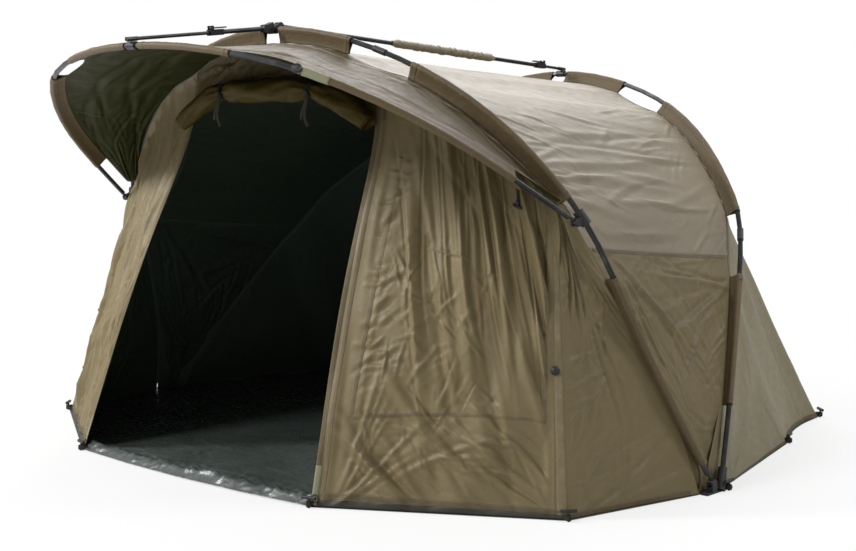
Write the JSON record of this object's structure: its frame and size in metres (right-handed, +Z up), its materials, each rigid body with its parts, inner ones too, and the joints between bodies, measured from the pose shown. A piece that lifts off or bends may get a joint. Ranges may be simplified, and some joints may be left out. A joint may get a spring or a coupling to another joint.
{
  "type": "bivvy tent",
  "caption": "Pram-hood bivvy tent with bent tubular hoops, ridge tension bars, overhanging peak and a rolled-up door.",
  "frame": {"origin": "on the ground on the tent's mid-line, at the mount ground_face, 90 mm behind the middle of the pivot blocks, which stand nearer the doorway", "axes": "+X across the tent towards its right-hand pivot block as seen from the front, +Y from the doorway to the rear wall, +Z up"},
  "size_m": [3.061, 2.7445, 1.6152],
  "materials": {
    "canopy_fabric": "matte",
    "wall_fabric": "matte",
    "sleeve_fabric": "matte",
    "groundsheet_film": "gloss",
    "door_fabric": "matte",
    "gunmetal_tube": "satin",
    "black_moulding": "satin",
    "peg_moulding": "matte"
  },
  "bodies": {
    "standing_frame": {"corner_panel_left": "wall_fabric", "corner_panel_right": "wall_fabric", "door_header": "wall_fabric", "front_wall_left": "wall_fabric", "front_wall_right": "wall_fabric", "groundsheet": "groundsheet_film", "pivot_block_left": "black_moulding", "pivot_block_right": "black_moulding", "rear_clamp": "black_moulding", "rear_collar_left": "black_moulding", "rear_collar_right": "black_moulding", "rear_rib": "gunmetal_tube", "rear_sleeve_centre_left": "sleeve_fabric", "rear_sleeve_centre_right": "sleeve_fabric", "rear_sleeve_lower_left": "sleeve_fabric", "rear_sleeve_lower_right": "sleeve_fabric", "rear_sleeve_upper_left": "sleeve_fabric", "rear_sleeve_upper_right": "sleeve_fabric", "rear_wall": "canopy_fabric", "rolled_door": "door_fabric", "roof_panel": "canopy_fabric", "side_panel_left": "wall_fabric", "side_panel_right": "wall_fabric"},
    "middle_frame": {"hood_panel": "canopy_fabric", "junction_block_left": "black_moulding", "junction_block_right": "black_moulding", "middle_collar_left": "black_moulding", "middle_collar_right": "black_moulding", "middle_rib": "gunmetal_tube", "middle_sleeve_centre_left": "sleeve_fabric", "middle_sleeve_centre_right": "sleeve_fabric", "middle_sleeve_lower_left": "sleeve_fabric", "middle_sleeve_lower_right": "sleeve_fabric", "middle_sleeve_upper_left": "sleeve_fabric", "middle_sleeve_upper_right": "sleeve_fabric", "ridge_hub": "black_moulding"},
    "peak_frame": {"peak_clamp": "black_moulding", "peak_rib": "gunmetal_tube", "peak_sleeve_centre_left": "sleeve_fabric", "peak_sleeve_centre_right": "sleeve_fabric", "peak_sleeve_side_left": "sleeve_fabric", "peak_sleeve_side_right": "sleeve_fabric"},
    "front_bar": {"front_bar_outer": "gunmetal_tube"},
    "front_bar_rod": {"front_bar_inner": "gunmetal_tube"},
    "front_lever": {"front_bar_cam_lever": "black_moulding"},
    "rear_bar": {"rear_bar_outer": "gunmetal_tube", "rear_bar_wrap": "sleeve_fabric"},
    "rear_bar_rod": {"rear_bar_inner": "gunmetal_tube"},
    "rear_lever": {"rear_bar_cam_lever": "black_moulding"},
    "peg_block_left": {"peg_block_left": "peg_moulding"},
    "peg_block_right": {"peg_block_right": "peg_moulding"},
    "peg_corner_left": {"peg_corner_left": "peg_moulding"},
    "peg_corner_right": {"peg_corner_right": "peg_moulding"},
    "peg_door_left": {"peg_door_left": "peg_moulding"},
    "peg_door_right": {"peg_door_right": "peg_moulding"},
    "peg_rear_left": {"peg_rear_left": "peg_moulding"},
    "peg_rear_right": {"peg_rear_right": "peg_moulding"},
    "peg_side_left": {"peg_side_left": "peg_moulding"},
    "peg_side_right": {"peg_side_right": "peg_moulding"}
  },
  "joints": [
    {"name": "middle_fold", "type": "hinge", "parent": "standing_frame", "child": "middle_frame", "pos_m": [0, -0.1205, 0.034], "axis": [-1, 0, 0], "range_deg": [0, 50], "deforming": ["roof_panel", "side_panel_right", "side_panel_left", "corner_panel_right", "corner_panel_left", "front_wall_right", "front_wall_left", "door_header", "rolled_door"]},
    {"name": "peak_fold", "type": "hinge", "parent": "middle_frame", "child": "peak_frame", "pos_m": [0, -0.51987, 0.92637], "axis": [-1, 0, 0], "range_deg": [0, 25], "deforming": ["hood_panel"]},
    {"name": "front_bar_swing", "type": "hinge", "parent": "middle_frame", "child": "front_bar", "pos_m": [0, -0.78548, 1.58913], "axis": [-1, 0, 0], "range_deg": [0, 55]},
    {"name": "front_bar_slide", "type": "slide", "parent": "front_bar", "child": "front_bar_rod", "axis": [0, 0.9948, 0.102], "range_m": [0, 0.1]},
    {"name": "front_lever_flip", "type": "hinge", "parent": "front_bar", "child": "front_lever", "pos_m": [0, -1.03634, 1.5793], "axis": [1, 0, 0], "range_deg": [0, 110]},
    {"name": "rear_bar_lift", "type": "hinge", "parent": "middle_frame", "child": "rear_bar", "pos_m": [0, -0.71682, 1.6007], "axis": [1, 0, 0], "range_deg": [0, 55]},
    {"name": "rear_bar_slide", "type": "slide", "parent": "rear_bar", "child": "rear_bar_rod", "axis": [0, -0.9978, 0.0661], "range_m": [0, 0.04]},
    {"name": "rear_lever_flip", "type": "hinge", "parent": "rear_bar", "child": "rear_lever", "pos_m": [0, 0.84456, 1.51311], "axis": [-1, 0, 0], "range_deg": [0, 110]},
    {"name": "peg_block_left_pull", "type": "slide", "parent": "standing_frame", "child": "peg_block_left", "axis": [0, 0, 1], "range_m": [0, 0.2]},
    {"name": "peg_block_right_pull", "type": "slide", "parent": "standing_frame", "child": "peg_block_right", "axis": [0, 0, 1], "range_m": [0, 0.2]},
    {"name": "peg_corner_left_pull", "type": "slide", "parent": "standing_frame", "child": "peg_corner_left", "axis": [0, 0, 1], "range_m": [0, 0.2]},
    {"name": "peg_corner_right_pull", "type": "slide", "parent": "standing_frame", "child": "peg_corner_right", "axis": [0, 0, 1], "range_m": [0, 0.2]},
    {"name": "peg_door_left_pull", "type": "slide", "parent": "standing_frame", "child": "peg_door_left", "axis": [0, 0, 1], "range_m": [0, 0.2]},
    {"name": "peg_door_right_pull", "type": "slide", "parent": "standing_frame", "child": "peg_door_right", "axis": [0, 0, 1], "range_m": [0, 0.2]},
    {"name": "peg_rear_left_pull", "type": "slide", "parent": "standing_frame", "child": "peg_rear_left", "axis": [0, 0, 1], "range_m": [0, 0.2]},
    {"name": "peg_rear_right_pull", "type": "slide", "parent": "standing_frame", "child": "peg_rear_right", "axis": [0, 0, 1], "range_m": [0, 0.2]},
    {"name": "peg_side_left_pull", "type": "slide", "parent": "standing_frame", "child": "peg_side_left", "axis": [0, 0, 1], "range_m": [0, 0.2]},
    {"name": "peg_side_right_pull", "type": "slide", "parent": "standing_frame", "child": "peg_side_right", "axis": [0, 0, 1], "range_m": [0, 0.2]}
  ],
  "couplings": [
    {"joint": "peak_fold", "follows": "middle_fold", "ratio": 0.5},
    {"joint": "front_bar_swing", "follows": "middle_fold", "ratio": 1.1},
    {"joint": "rear_bar_lift", "follows": "middle_fold", "ratio": 1.1}
  ]
}
